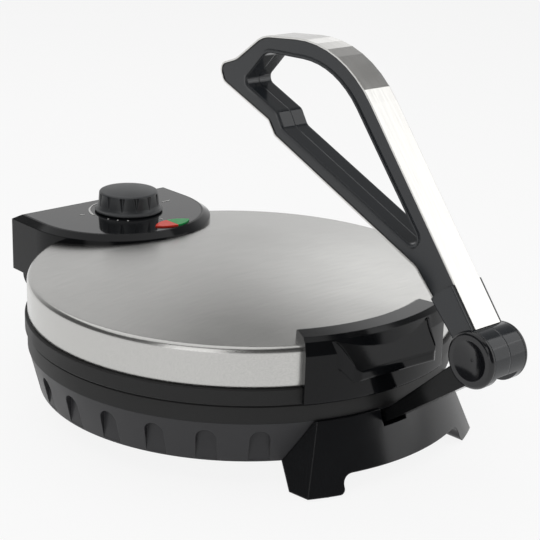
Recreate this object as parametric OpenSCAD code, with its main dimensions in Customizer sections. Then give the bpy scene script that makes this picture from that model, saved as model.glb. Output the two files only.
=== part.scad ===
// Electric roti maker: two heated round plates, a hinged steel lid and a press lever.
// The origin is on the table, under the middle of the object. +Z is up and the lever's side is -Y.

/* [Plates and rings] */
// Diameter of the cooking plates
plate_d = 254; // [230:1:262]
// Thickness of a cooking plate at its middle
plate_t = 3.8; // [3:0.1:4.5]
// Gap between the closed plates
plate_gap = 0.8; // [0.6:0.1:1.2]
// Width of the lower ring round its plate
base_ring_w = 19.3; // [18.5:0.1:20]
// How far the lid's ring stands out over the lower ring
lid_ring_out = 1.5; // [1:0.1:2]
// Height of the seam between the two rings above the table
seam_z = 56.4; // [56:0.1:57]
// Height of the lower ring
base_ring_h = 11.7; // [11:0.1:12.5]
// Height of the lid's ring
lid_ring_h = 10.9; // [10:0.1:11.5]
// Width of the ledge on which a plate's rim sits
plate_ledge = 3; // [2:0.1:4]

/* [Skirt] */
// How far the skirt narrows towards its lower edge
skirt_taper = 7.3; // [6.5:0.1:9]
// Height of the skirt's lower edge above the table
skirt_z = 16; // [14:0.5:17]
// Wall of the skirt
skirt_wall = 2.6; // [2:0.1:3.2]
// Width of a thumb recess
recess_w = 12.6; // [9:0.1:13]
// How far a recess's floor stands out over the skirt's lower edge
recess_floor = 0.2; // [0:0.1:1]
// Angle between two thumb recesses
recess_pitch = 13.33; // [13:0.01:14]
// Angle from the front to the first recess
recess_first = 35; // [34:0.5:36]
// Number of recesses on each side
recess_count = 9; // [5:1:9]

/* [Legs] */
// How far a leg panel flares out at the table
leg_flare = 17; // [12:0.5:18]
// Wall of a leg panel
leg_wall = 3; // [2.4:0.1:3.2]
// Height of a leg panel's lower edge between its feet
leg_arch_z = 11.5; // [9:0.5:14]
// Half the distance between a panel's feet
leg_arch_x = 56; // [50:0.5:58]
// Half angle of a leg panel at its upper edge
ridge_top_a = 25; // [23:0.5:26]
// Half angle of a leg panel at the table
ridge_low_a = 28.8; // [27:0.1:29.5]
// Thickness of a foot at the table
foot_t = 12; // [10:0.1:13]
// Angle by which the front panel is turned from the middle
leg_turn = 3.5; // [0:0.5:4]
// Radius of a rubber foot pad
pad_r = 4; // [3:0.1:4.4]
// How far a foot pad stands out of its foot
pad_out = 1; // [0.6:0.1:2]

/* [Lid] */
// How far the steel band lies inside the edge of the lid's ring
band_in = 2.8; // [2.4:0.1:3.2]
// Thickness of the steel sheet
sheet_t = 1.2; // [0.8:0.1:1.5]
// Height of the steel band
band_h = 21.6; // [20:0.1:23]
// Height of the rounded shoulder over the band
shoulder_h = 3.5; // [2.5:0.1:4]
// Rise of the dome
dome_rise = 5; // [4:0.1:6]

/* [Control housing] */
// Half the width of the housing's wall
house_half_w = 71; // [70:0.5:73]
// Middle of the housing's round front, in front of the hinge axis
house_front = 12.5; // [11:0.1:14]
// Rear wall of the housing, behind the hinge axis
house_back = 21; // [19:0.5:23]
// Height of the housing's top above the table
house_top_z = 101.7; // [101:0.1:104]
// Width of the chamfer round the housing's top
house_chamfer = 5.5; // [4:0.1:6]
// Height of the chamfer round the housing's top
chamfer_h = 3.5; // [3:0.1:4.5]
// Wall of the housing
house_wall = 3; // [2.4:0.1:3]
// Middle of the pair of lenses, to the right of the lid's axis
lens_x = 11; // [0:0.5:12]
// Middle of the pair of lenses, in front of the housing's round middle
lens_front = 55.2; // [54:0.1:58]
// Half the length of the pair of lenses
lens_long = 15.6; // [12:0.1:17]
// Half the width of the pair of lenses
lens_wide = 7.2; // [5:0.1:7.6]
// Thickness of the control panel
panel_t = 1.5; // [1.2:0.1:1.8]

/* [Knob] */
// Middle of the knob, in front of the hinge axis
knob_front = 20; // [18:0.5:22]
// Middle of the knob, to the right of the lid's axis
knob_x = 6; // [0:0.5:7]
// Radius of the knob's flared base
knob_r = 25.5; // [24:0.5:26.5]
// Radius of the knob's grip
knob_grip_r = 22.8; // [21.5:0.1:23.4]
// Height of the knob
knob_h = 16.5; // [14:0.5:19]
// Number of grip notches
knob_notches = 13; // [10:1:16]
// Radius of the thermostat's shaft
shaft_r = 3; // [2.5:0.1:3.5]

/* [Lid handle] */
// Half angle of the handle round the lid
handle_half_a = 22; // [21:0.1:24]
// Thickness of the handle in front of the band
handle_t = 6; // [5:0.1:7]
// Height of the handle's lip above the steel
lip_h = 7.5; // [6:0.1:9]
// Angle by which the handle is turned from the middle
handle_turn = -3.5; // [-4:0.5:0]
// Half the width of the grip ledge at its root
ledge_root_w = 45; // [42:0.5:48]
// Half the width of the grip ledge at its waist
ledge_waist_w = 36.5; // [34:0.5:40]
// Half the width of the grip ledge at its front
ledge_front_w = 32; // [26:0.5:34]
// Reach of the grip ledge in front of the lid's ring
ledge_out = 13.2; // [11:0.1:16]
// Height of the ledge's front edge above the table
ledge_z = 80.5; // [76:0.5:82]
// Thickness of the ledge at its front
ledge_t = 9.5; // [7:0.5:10]

/* [Hinge] */
// Hinge axis, behind the edge of the lid's ring
hinge_out = 12.2; // [12:0.1:13.2]
// Height of the hinge axis above the table
hinge_z = 59.5; // [58:0.1:60]
// Radius of the hinge pin
hinge_pin_r = 3; // [2.5:0.1:3.5]
// Radius of an ear on the base
ear_r = 12.6; // [10:0.1:13]
// Outer face of an ear on the base, from the middle
ear_x = 54; // [52:0.5:55]
// Thickness of an ear on the base
ear_t = 9; // [7:0.5:10]

/* [Lever] */
// Lever pivot, in front of the edge of the lid's ring
pivot_out = 73.2; // [71:0.1:75]
// Height of the lever pivot above the table
pivot_z = 102; // [101:0.1:103]
// Radius of the barrel round the pivot
barrel_r = 17.2; // [16.5:0.1:17.6]
// Half the length of the barrel
barrel_half = 16.4; // [15.5:0.1:17.5]
// Thickness of a barrel cap
cap_t = 3.2; // [3:0.1:4]
// Radius of the pivot bolt
bolt_r = 4; // [3:0.1:4.5]
// Half the width of the bracket's tongue
tongue_half = 8.3; // [7:0.1:8.4]
// Radius of the bracket's tongue
tongue_r = 13.8; // [12:0.1:14]
// Half the width of the lever's arm
arm_half = 10; // [9.5:0.1:10.4]
// Thickness of the polished strip
strip_t = 1; // [0.8:0.1:1.2]
// Half the width of the polished strip
strip_half = 10.7; // [10.5:0.1:11.2]
// Radius of the lever's bend
bend_r = 78; // [60:1:84]

/* [Clearances] */
// Running clearance of a pin in its bore
run_fit = 0.05; // [0.03:0.01:0.09]
// Gap between parts that are screwed or snapped together
seat_gap = 0.2; // [0.1:0.05:0.25]
// Gap between parts that move past each other
move_gap = 0.5; // [0.4:0.05:0.8]

/* [Hidden] */
$fn = 96;
black = "#1c1d20";
charcoal = "#3a3a3a";
steel = "#b4b2ae";
metal = "#8f9194";
far = 400;

// Radii and places that follow from the plate outwards
plate_r = plate_d / 2;
base_ring_r = plate_r + base_ring_w;
lid_ring_r = base_ring_r + lid_ring_out;
lid_r = lid_ring_r - band_in;
skirt_low_r = base_ring_r - skirt_taper;
hinge_y = lid_ring_r + hinge_out;
house_back_y = hinge_y + house_back;
house_mid_y = hinge_y - house_front;
knob_y = hinge_y - knob_front;
lens_y = house_mid_y - lens_front;
ledge_y = lid_ring_r + ledge_out;
pivot_y = lid_ring_r + pivot_out;
block_y = 40;

// The object's middle, so that the origin lies under it
mid_y = (house_back_y - pivot_y - barrel_r) / 2;

// Heights in the base
base_ring_z = seam_z - seat_gap - base_ring_h;
skirt_top = base_ring_z - seat_gap;
skirt_top_r = base_ring_r - 0.3;
floor_z = skirt_z + skirt_wall;
floor_t = 2.4;
cover_t = 2;
cover_r = skirt_low_r - skirt_wall - seat_gap;
cover_screw_pcr = cover_r - 8;
post_r = 4;
screw_r = 1.5;
screw_head_r = 3.2;
screw_head_h = 1.8;
pilot_gap = 0.05;

// Heights of the two plates, on either side of the seam
lower_top = seam_z + 0.8;
upper_low = lower_top + plate_gap;
rim_t = 3.3;
rim_w = 9;
upper_top = upper_low + plate_t;
lower_low = lower_top - plate_t;
element_r = plate_r - 42;
tube_r = 3.2;
leg_len = tube_r + 8.8;
stud_pcr = plate_r - 67;
stud_r = 3;
reflector_r = plate_r - 11;
reflector_t = 0.8;
reflector_drop = 11;
lower_pan = lower_low - reflector_drop;
upper_pan = upper_top + reflector_drop;

// The lid above the seam
lid_ring_z = seam_z + seat_gap;
band_z = lid_ring_z + lid_ring_h;
lip_z = band_z + 7;
shoulder_z = band_z + band_h;
crease_z = shoulder_z + shoulder_h;
crease_r = lid_r - 2.2;
crown_z = crease_z + dome_rise;
ring_step_r = lid_r - sheet_t - seat_gap;

// The control housing
house_in_w = house_half_w - house_wall;
panel_in = 6.5;
panel_z = house_top_z - panel_t;
roof_low = panel_z - 2;
house_low = hinge_z;
back_wall_low = hinge_z + 7;
knuckle_r = 9;
knuckle_in = ear_x + 2.5;
lens_h = 1.1;
lens_gap = 0.15;
shaft_low = roof_low - 14;
neck_r = 5;
thermostat_w = 32;
thermostat_h = 13;

// The leg panels and the parts that sit between them and the skirt
arm_notch_half = tongue_half + 1.8;
foot_pad_a = 24;
leg_top_r = base_ring_r + 1.9;
foot_r = leg_top_r + leg_flare;
foot_mid_r = foot_r - foot_t / 2;
notch_z = 34;
root_half_w = 19;
root_low = skirt_z + 6;
root_high = skirt_top - 9.3;
root_t = 3.2;
root_screw_z = root_low + 4;

// The lever, drawn from its pivot in the plane across the object
eye_in = tongue_half + 0.6;
eye_out = barrel_half - cap_t - 0.1;
bore_wall_r = tongue_r + move_gap;
bolt_head_r = 7;
bolt_head_h = 2.2;
washer_r = 9;
press_swing = 28.5;
lid_follow = 83;
wall_a0 = 20;
wall_a1 = 205;

// Corners [y, z, radius] of the lever's side, anticlockwise from the barrel's underside
LEVER = [
    [12, 4, 0], [50.5, 42.5, 10], [179, 96.3, 5], [185.5, 105.2, 5], [231, 122.8, 5], [235.5, 132.5, 5],
    [219, 138.2, 24], [193.4, 156.9, 25], [121.3, 163.5, bend_r], [2, 16.4, 0]
];
// Corners of the opening inside the lever, anticlockwise from its narrow end
LOOP = [
    [41.3, 47.7, 4.5], [171.5, 102, 6], [177.5, 111.6, 6], [211.5, 125.4, 4], [190, 147.7, 12],
    [126, 149.4, bend_r - 16]
];
// Corners of the bracket's arm, from the lid's axis and the table
ARM = [
    [-skirt_low_r - 5, root_low, 0], [-skirt_low_r - 9, notch_z, 6], [-pivot_y + 9, pivot_z - 21, 0],
    [-pivot_y + 2, pivot_z, 0], [-pivot_y + 19, pivot_z - 10, 0], [-skirt_low_r - 18, notch_z + 16.5, 8],
    [-skirt_low_r - 10.4, notch_z + 8.5, 3], [-skirt_low_r - 5, notch_z + 8.5, 0]
];

// Outlines: a corner becomes an arc that touches both of its sides
function unit(v) = v / norm(v);
function flat(p) = [p[0], p[1]];
function turn(a, b) = (b - a + 900) % 360 - 180;
function corner(a, b, c, steps) =
    b[2] <= 0 ? [flat(b)] :
    let (u = unit(flat(a) - flat(b)))
    let (w = unit(flat(c) - flat(b)))
    let (half = acos(u * w) / 2)
    let (mid = flat(b) + unit(u + w) * b[2] / sin(half))
    let (p = flat(b) + u * b[2] / tan(half) - mid)
    let (q = flat(b) + w * b[2] / tan(half) - mid)
    let (a0 = atan2(p[1], p[0]))
    let (sweep = turn(a0, atan2(q[1], q[0])))
    [for (i = [0:steps]) mid + b[2] * [cos(a0 + sweep * i / steps), sin(a0 + sweep * i / steps)]];
function outline(v, steps = 6) =
    [for (i = [0:len(v) - 1]) each corner(v[(i + len(v) - 1) % len(v)], v[i], v[(i + 1) % len(v)], steps)];
// The same corners, moved out by d; an anticlockwise outline grows
function grown(v, d) = [
    for (i = [0:len(v) - 1])
        let (b = flat(v[i]))
        let (e = unit(b - flat(v[(i + len(v) - 1) % len(v)])))
        let (f = unit(flat(v[(i + 1) % len(v)]) - b))
        let (n = [e[1] + f[1], -e[0] - f[0]])
        let (bulge = cross([e[0], e[1]], [f[0], f[1]]) > 0 ? d : -d)
        let (p = b + n * d / (1 + e * f))
        [p[0], p[1], v[i][2] > 0 ? max(v[i][2] + bulge, 0.2) : 0]
];

// Radius of the skirt and of a leg panel's outside at height z
function skirt_at(z) = skirt_low_r + (skirt_top_r - skirt_low_r) * (z - skirt_z) / (skirt_top - skirt_z);
function leg_at(z) = leg_top_r + leg_flare * (skirt_top - z) / skirt_top;
// Radius of a foot's back below the skirt
function foot_back_at(z) = foot_r - foot_t + (skirt_low_r + seat_gap - foot_r + foot_t) * z / skirt_z;
// Height of the dome's outside at radius r
function dome_at(r) = crease_z + dome_rise * (1 - pow(r / crease_r, 2));

// Places a part that is drawn from the lid's axis
module on_axis() {
    translate([0, -mid_y, 0])
        children();
}
// Places a part of the lever that is drawn from its pivot
module at_pivot() {
    on_axis()
        translate([0, -pivot_y, pivot_z])
            children();
}
// Extrudes a side outline [y, z] between two distances along X
module side_plate(x0, x1) {
    translate([x0, 0, 0])
        rotate([90, 0, 90])
            linear_extrude(height = x1 - x0)
                children();
}
// A round bar along X
module x_bar(r, x0, x1) {
    translate([x0, 0, 0])
        rotate([0, 90, 0])
            cylinder(r = r, h = x1 - x0);
}
module both_sides() {
    children();
    mirror([1, 0, 0])
        children();
}
module ring_of(count, r) {
    for (i = [0:count - 1])
        rotate([0, 0, (i + 0.5) * 360 / count])
            translate([r, 0, 0])
                children();
}
// A pan-head screw that points up, with its seat at z = 0
module screw_up(length) {
    translate([0, 0, -screw_head_h])
        cylinder(r = screw_head_r, h = screw_head_h);
    cylinder(r = screw_r, h = length);
}

// Base: skirt, rings and plates
module recess_outline(extra) {
    low = skirt_z + 1.5;
    top = skirt_top - 5.5;
    splay = 0.4;
    half = recess_w / 2;
    translate([0, top - half])
        circle(r = half + extra);
    polygon([
        [-half - extra, top - half], [-half - splay - extra, low - extra],
        [half + splay + extra, low - extra], [half + extra, top - half]
    ]);
}
module recess_row(extra) {
    both_sides()
        for (i = [0:recess_count - 1])
            rotate([0, 0, -90 + recess_first + i * recess_pitch])
                side_plate(skirt_low_r - 12, skirt_top_r + 3)
                    recess_outline(extra);
}
module skirt_cone(inset) {
    rotate_extrude()
        polygon([
            [0, skirt_z - 1], [skirt_at(skirt_z - 1) - inset, skirt_z - 1],
            [skirt_at(skirt_top + 1) - inset, skirt_top + 1], [0, skirt_top + 1]
        ]);
}
module shell_wall() {
    rotate_extrude()
        polygon([
            [skirt_low_r, skirt_z], [skirt_top_r, skirt_top], [skirt_top_r - skirt_wall, skirt_top],
            [skirt_at(floor_z + floor_t) - skirt_wall, floor_z + floor_t], [cover_screw_pcr - 9, floor_z + floor_t],
            [cover_screw_pcr - 9, floor_z], [skirt_low_r - skirt_wall, floor_z], [skirt_low_r - skirt_wall, skirt_z]
        ]);
}
// The floor of the recesses is upright, so they are deep at the top and run out at the bottom
module recess_core(extra) {
    translate([0, 0, skirt_z - 2])
        cylinder(r = skirt_low_r + recess_floor - extra, h = far);
}
module recess_cut() {
    difference() {
        recess_row(0);
        recess_core(0);
    }
}
module base_shell() {
    recess_t = 1.6;
    color("#4a4a4c")
        on_axis() {
            difference() {
                union() {
                    shell_wall();
                    intersection() {
                        recess_row(recess_t);
                        difference() {
                            skirt_cone(skirt_wall - 0.1);
                            recess_core(recess_t);
                        }
                    }
                }
                recess_cut();
                ring_of(6, cover_screw_pcr)
                    translate([0, 0, floor_z - 1])
                        cylinder(r = screw_r + pilot_gap, h = floor_t + 2);
                root_screw_holes(screw_r + pilot_gap);
            }
            ring_of(6, cover_screw_pcr)
                difference() {
                    translate([0, 0, floor_z + floor_t - 0.1])
                        cylinder(r = post_r, h = 9);
                    translate([0, 0, floor_z])
                        cylinder(r = screw_r + pilot_gap, h = 10);
                }
        }
}
module base_ring() {
    z = base_ring_z;
    top = z + base_ring_h;
    seat = lower_top - rim_t - seat_gap;
    in_r = plate_r + seat_gap + 0.3;
    color(charcoal)
        on_axis()
            rotate_extrude()
                polygon([
                    [base_ring_r, z], [base_ring_r, top - 1], [base_ring_r - 1, top], [in_r, top], [in_r, seat],
                    [in_r - plate_ledge, seat], [in_r - plate_ledge, seat - 2.6], [base_ring_r - skirt_wall, seat - 2.6],
                    [base_ring_r - skirt_wall, z]
                ]);
}
// A cooking plate, with its cooking face at z = 0 and its back at z = plate_t
module plate_body() {
    rotate_extrude()
        polygon(concat(
            [[0, 0]],
            [for (i = [0:6]) [plate_r - 1.6 + 1.6 * sin(i * 15), 1.6 - 1.6 * cos(i * 15)]],
            [[plate_r, rim_t], [plate_r - rim_w, rim_t], [plate_r - rim_w, plate_t], [0, plate_t]]
        ));
    for (i = [0:2])
        rotate([0, 0, i * 120 + 30])
            translate([stud_pcr, 0, plate_t - 0.1])
                cylinder(r = stud_r, h = reflector_drop - seat_gap + 0.1);
}
// A tubular element with two legs, its tube on the plane z = 0
module element_body(leg) {
    open_a = 24;
    translate([0, 0, tube_r + seat_gap])
        rotate([0, 0, open_a / 2])
            rotate_extrude(angle = 360 - open_a)
                translate([element_r, 0])
                    circle(r = tube_r, $fn = 32);
    for (a = [open_a / 2, -open_a / 2])
        rotate([0, 0, a])
            translate([element_r, 0, seat_gap + 0.6]) {
                cylinder(r = tube_r + 0.6, h = tube_r + leg);
                cylinder(r = 1.4, h = tube_r + leg + 6);
            }
}
// A reflector pan, open towards z = 0, its floor at reflector_drop
module reflector_body() {
    z = reflector_drop;
    difference() {
        rotate_extrude()
            polygon([
                [0, z], [reflector_r - 5, z], [reflector_r, z - 6], [reflector_r + 0.9, z - 6],
                [reflector_r - 4.6, z + reflector_t], [0, z + reflector_t]
            ]);
        for (a = [12, -12])
            rotate([0, 0, a])
                translate([element_r, 0, z - 1])
                    cylinder(r = 5.5, h = 4);
    }
}
module under_lower_plate() {
    on_axis()
        translate([0, 0, lower_low])
            rotate([180, 0, 90])
                children();
}
module over_upper_plate() {
    on_axis()
        translate([0, 0, upper_top])
            rotate([0, 0, 90])
                children();
}
module lower_plate() {
    color(metal)
        on_axis()
            translate([0, 0, lower_top])
                rotate([180, 0, 90])
                    plate_body();
}
module lower_element() {
    color("#5c5e60")
        under_lower_plate()
            element_body(leg_len);
}
module lower_reflector() {
    color(steel)
        under_lower_plate()
            reflector_body();
}
module cutout_body() {
    translate([0, 0, seat_gap])
        cylinder(r = 8, h = 6);
    translate([-14, -3, seat_gap])
        cube([28, 6, 1]);
}
module lower_cutout() {
    color("#c8c4ba")
        under_lower_plate()
            translate([30, 0, 0])
                cutout_body();
}
module block_body() {
    difference() {
        cube([34, 18, 9], center = true);
        for (x = [-10, 0, 10])
            translate([x, 0, 1])
                cylinder(r = 2.6, h = 5);
    }
}
module lower_terminal_block() {
    color("#e4e0d4")
        on_axis()
            translate([0, block_y, skirt_z + cover_t + seat_gap + 4.5])
                block_body();
}
module bottom_cover() {
    z = skirt_z + seat_gap;
    color("#2c2c2e")
        on_axis()
            difference() {
                translate([0, 0, z])
                    cylinder(r = cover_r, h = cover_t);
                ring_of(6, cover_screw_pcr)
                    translate([0, 0, z - 1])
                        cylinder(r = screw_r + 0.3, h = cover_t + 2);
                for (row = [0:3])
                    for (i = [0:11])
                        rotate([0, 0, i * 30 + 15])
                            translate([36 + row * 18, -2, z - 1])
                                cube([12, 4, cover_t + 2]);
            }
}
module cover_screws() {
    color(metal)
        on_axis()
            ring_of(6, cover_screw_pcr)
                translate([0, 0, skirt_z + seat_gap - 0.1])
                    screw_up(10);
}

// Legs
module leg_ring() {
    rotate_extrude()
        polygon([
            [leg_at(pad_out), pad_out], [leg_top_r, skirt_top], [skirt_at(skirt_top) + seat_gap, skirt_top],
            [skirt_at(skirt_z) + seat_gap, skirt_z], [foot_back_at(pad_out), pad_out]
        ]);
}
// The hollow behind a panel, over its solid feet and open towards the skirt
module leg_hollow() {
    low = pad_out + leg_arch_z + leg_wall;
    high = skirt_top - 7;
    rotate_extrude()
        polygon([
            [skirt_low_r - 10, low], [leg_at(low) - leg_wall, low], [leg_at(high) - leg_wall, high],
            [skirt_low_r - 10, high]
        ]);
}
// The space inwards of one side facet: the facet leans out and down from the ridge
module inside_facet(inset) {
    top = leg_at(skirt_top) * [-sin(ridge_top_a), -cos(ridge_top_a)];
    low = leg_at(0) * [-sin(ridge_low_a), -cos(ridge_low_a)];
    yaw = 4;
    drop = (top[0] - low[0]) * cos(yaw) + (top[1] - low[1]) * sin(yaw);
    translate([top[0], top[1], skirt_top])
        rotate([0, 0, yaw])
            rotate([0, atan2(drop, skirt_top), 0])
                translate([inset, -far / 2, -far / 2])
                    cube([far, far, far]);
}
module between_facets(inset) {
    intersection() {
        inside_facet(inset);
        mirror([1, 0, 0])
            inside_facet(inset);
        translate([-far / 2, -far, -far / 2])
            cube([far, far, far]);
    }
}
// Front view of the space between the feet, with round corners
module leg_arch() {
    r = 7;
    lip_r = 4;
    top = leg_arch_z;
    x = leg_arch_x;
    side_r = min(r, top - lip_r);
    translate([-x + side_r, -1])
        square([2 * x - 2 * side_r, top + 1]);
    translate([-x, -1])
        square([2 * x, top + 1 - side_r]);
    for (s = [-1, 1])
        translate([s * (x - side_r), top - side_r])
            circle(r = side_r);
    for (s = [-1, 1])
        difference() {
            translate([s > 0 ? x - 1 : -x - lip_r, -1])
                square([lip_r + 1, lip_r + 1]);
            translate([s * (x + lip_r), lip_r])
                circle(r = lip_r);
            translate([s > 0 ? x + lip_r : -x - 2 * lip_r, -1])
                square([lip_r, lip_r + 2]);
        }
}
module leg_panel() {
    difference() {
        intersection() {
            leg_ring();
            between_facets(0);
        }
        intersection() {
            leg_hollow();
            between_facets(leg_wall);
        }
        translate([0, -skirt_low_r + 40, pad_out])
            rotate([90, 0, 0])
                linear_extrude(height = 90)
                    leg_arch();
        pad_places()
            translate([0, 0, pad_out - 1])
                cylinder(r = pad_r + seat_gap, h = 2);
    }
}
module pad_places() {
    both_sides()
        rotate([0, 0, -foot_pad_a])
            translate([0, -foot_mid_r, 0])
                children();
}
module front_leg_panel() {
    color(black)
        on_axis()
            difference() {
                rotate([0, 0, leg_turn])
                    leg_panel();
                translate([-arm_notch_half, -far / 2, notch_z])
                    cube([2 * arm_notch_half, 100, far]);
            }
}
module rear_leg_panel() {
    color(black)
        on_axis()
            difference() {
                union() {
                    rotate([0, 0, 180])
                        leg_panel();
                    both_sides()
                        side_plate(ear_x - ear_t, ear_x) {
                            translate([hinge_y, hinge_z])
                                circle(r = ear_r);
                            polygon([
                                [hinge_y - ear_r, hinge_z], [skirt_low_r + 1, skirt_top], [skirt_low_r + 7, root_low + 4],
                                [hinge_y + ear_r * cos(45), hinge_z - ear_r * sin(45)], [hinge_y, hinge_z]
                            ]);
                        }
                    translate([gland_x, gland_y - gland_boss_h, gland_z])
                        rotate([-90, 0, 0])
                            cylinder(r = gland_boss_r, h = gland_boss_h);
                }
                translate([0, 0, skirt_top])
                    cylinder(r = lid_ring_r + move_gap, h = 40);
                translate([0, 0, skirt_z - 2])
                    skirt_room();
                translate([0, hinge_y, hinge_z])
                    x_bar(hinge_pin_r + run_fit, -ear_x - 1, ear_x + 1);
                translate([gland_x, gland_y - 20, gland_z])
                    rotate([-90, 0, 0])
                        cylinder(r = gland_r + seat_gap, h = 30);
            }
}
// Room for the skirt inside a panel
module skirt_room() {
    rotate_extrude()
        polygon([
            [0, 0], [skirt_low_r + seat_gap, 0], [skirt_low_r + seat_gap, 2],
            [skirt_top_r + seat_gap, skirt_top - skirt_z + 2.1], [0, skirt_top - skirt_z + 2.1]
        ]);
}
gland_x = -24;
gland_y = skirt_low_r + 17;
gland_z = 31;
gland_r = 6;
gland_boss_r = 9;
gland_boss_h = 17;
cord_r = 3.6;
module cord_gland() {
    color(black)
        on_axis()
            translate([gland_x, gland_y, gland_z])
                rotate([-90, 0, 0])
                    difference() {
                        union() {
                            translate([0, 0, -11])
                                cylinder(r = gland_r, h = 12);
                            translate([0, 0, seat_gap])
                                cylinder(r = gland_r + 2, h = 2.2);
                            translate([0, 0, 2])
                                cylinder(r1 = gland_r - 0.6, r2 = cord_r + 1, h = 12);
                        }
                        translate([0, 0, -12])
                            cylinder(r = cord_r, h = 30);
                    }
}
module foot_pads() {
    color("#202022")
        on_axis()
            for (a = [leg_turn, 180])
                rotate([0, 0, a])
                    pad_places()
                        cylinder(r = pad_r, h = pad_out + 1 - seat_gap / 2);
}

// Lever bracket
module root_screw_places() {
    for (s = [-1, 1])
        translate([s * (root_half_w - 6), 0, root_screw_z])
            children();
}
module root_screw_holes(r) {
    root_screw_places()
        translate([0, -skirt_low_r + 12, 0])
            rotate([90, 0, 0])
                cylinder(r = r, h = 30);
}
module lever_bracket() {
    color("#151619")
        on_axis()
            difference() {
                union() {
                    intersection() {
                        rotate_extrude()
                            polygon([
                                [skirt_at(root_low) + seat_gap, root_low], [skirt_at(root_low) + seat_gap + root_t, root_low],
                                [skirt_at(root_high) + seat_gap + root_t, root_high],
                                [skirt_at(root_high) + seat_gap, root_high]
                            ]);
                        translate([-root_half_w, -far / 2, 0])
                            cube([2 * root_half_w, far / 2, far]);
                    }
                    intersection() {
                        side_plate(-tongue_half, tongue_half)
                            polygon(outline(ARM));
                        difference() {
                            translate([-50, -far, 0])
                                cube([100, far, far]);
                            translate([0, 0, skirt_z - 2])
                                skirt_room();
                        }
                    }
                    translate([0, -pivot_y, pivot_z])
                        x_bar(tongue_r, -tongue_half, tongue_half);
                }
                translate([0, -pivot_y, pivot_z])
                    x_bar(bolt_r + run_fit, -tongue_half - 1, tongue_half + 1);
                root_screw_holes(screw_r + pilot_gap);
            }
}
module bracket_screws() {
    seat = skirt_at(root_screw_z) + root_t + seat_gap;
    color(metal)
        on_axis()
            root_screw_places()
                translate([0, -sqrt(pow(seat, 2) - pow(root_half_w - 6, 2)) - 0.9, 0])
                    rotate([-90, 0, 0])
                        screw_up(10);
}

// Hinge
module hinge_pin() {
    color(steel)
        on_axis()
            translate([0, hinge_y, hinge_z])
                x_bar(hinge_pin_r, -house_in_w + 1, house_in_w - 1);
}

// Lid
module lid_profile(t) {
    polygon(concat(
        [[lid_r - t, band_z], [lid_r, band_z]],
        [for (i = [0:6]) [crease_r + 2.2 * cos(i * 15), shoulder_z + shoulder_h * sin(i * 15)]],
        [for (i = [1:12]) let (r = crease_r * (1 - i / 12)) [r, dome_at(r)]],
        [for (i = [0:11]) let (r = crease_r * i / 12) [r, dome_at(r) - t]],
        [[crease_r - t, crease_z - t * 1.2], [lid_r - t, shoulder_z]]
    ));
}
module lid_cover() {
    color(steel)
        on_axis()
            difference() {
                rotate_extrude()
                    lid_profile(sheet_t);
                translate([knob_x - thermostat_w / 2 - 5, knob_y - 20, lip_z + 2])
                    cube([thermostat_w + 10, far, far]);
                handle_screw_places()
                    rotate([90, 0, 0])
                        translate([0, 0, -1])
                            cylinder(r = screw_r + 0.3, h = sheet_t + 3);
            }
}
module lid_ring() {
    z = lid_ring_z;
    seat = upper_low + rim_t + seat_gap;
    in_r = plate_r + seat_gap + 0.3;
    color(charcoal)
        on_axis()
            rotate_extrude()
                polygon([
                    [in_r, z], [lid_ring_r - 0.8, z], [lid_ring_r, z + 0.8], [lid_ring_r, band_z - 0.8],
                    [lid_ring_r - 0.6, band_z - seat_gap], [ring_step_r, band_z - seat_gap], [ring_step_r, lip_z],
                    [ring_step_r - 2.2, lip_z], [ring_step_r - 2.2, seat + 2.6], [in_r - plate_ledge, seat + 2.6],
                    [in_r - plate_ledge, seat], [in_r, seat]
                ]);
}
module upper_plate() {
    color(metal)
        on_axis()
            translate([0, 0, upper_low])
                rotate([0, 0, 90])
                    plate_body();
}
module upper_element() {
    color("#5c5e60")
        over_upper_plate()
            element_body(leg_len);
}
module upper_reflector() {
    color(steel)
        over_upper_plate()
            reflector_body();
}
module thermal_fuse() {
    color("#d8d4c8")
        over_upper_plate()
            translate([-36, 0, 0]) {
                translate([0, -12, 3 + seat_gap])
                    rotate([-90, 0, 0])
                        cylinder(r = 3, h = 24);
                translate([-4, -4, seat_gap])
                    cube([8, 8, 4]);
            }
}
module upper_terminal_block() {
    color("#e4e0d4")
        on_axis()
            translate([0, block_y, upper_pan + reflector_t + seat_gap + 4.5])
                block_body();
}
module thermostat() {
    color("#b8b4a4")
        on_axis()
            translate([knob_x, knob_y, 0])
                difference() {
                    union() {
                        translate([-thermostat_w / 2, -14, roof_low - seat_gap - thermostat_h])
                            cube([thermostat_w, 28, thermostat_h]);
                        translate([0, 0, roof_low - 1])
                            cylinder(r = neck_r, h = house_top_z - roof_low + 1);
                    }
                    translate([0, 0, shaft_low])
                        cylinder(r = shaft_r + run_fit, h = 40);
                }
}

// Control housing
// Outline from above with a straight rear and a round front, moved in by inset
module house_plan(inset) {
    translate([0, house_mid_y])
        circle(r = house_half_w - inset);
    translate([-house_half_w + inset, house_mid_y])
        square([2 * (house_half_w - inset), house_back_y - house_mid_y - inset]);
}
// The plan is cut flat at the rear, where its circle reaches past the wall
module house_slab(inset, z0, z1) {
    intersection() {
        translate([0, 0, z0])
            linear_extrude(height = z1 - z0)
                house_plan(inset);
        translate([-far / 2, 0, 0])
            cube([far, house_back_y - inset, far]);
    }
}
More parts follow.
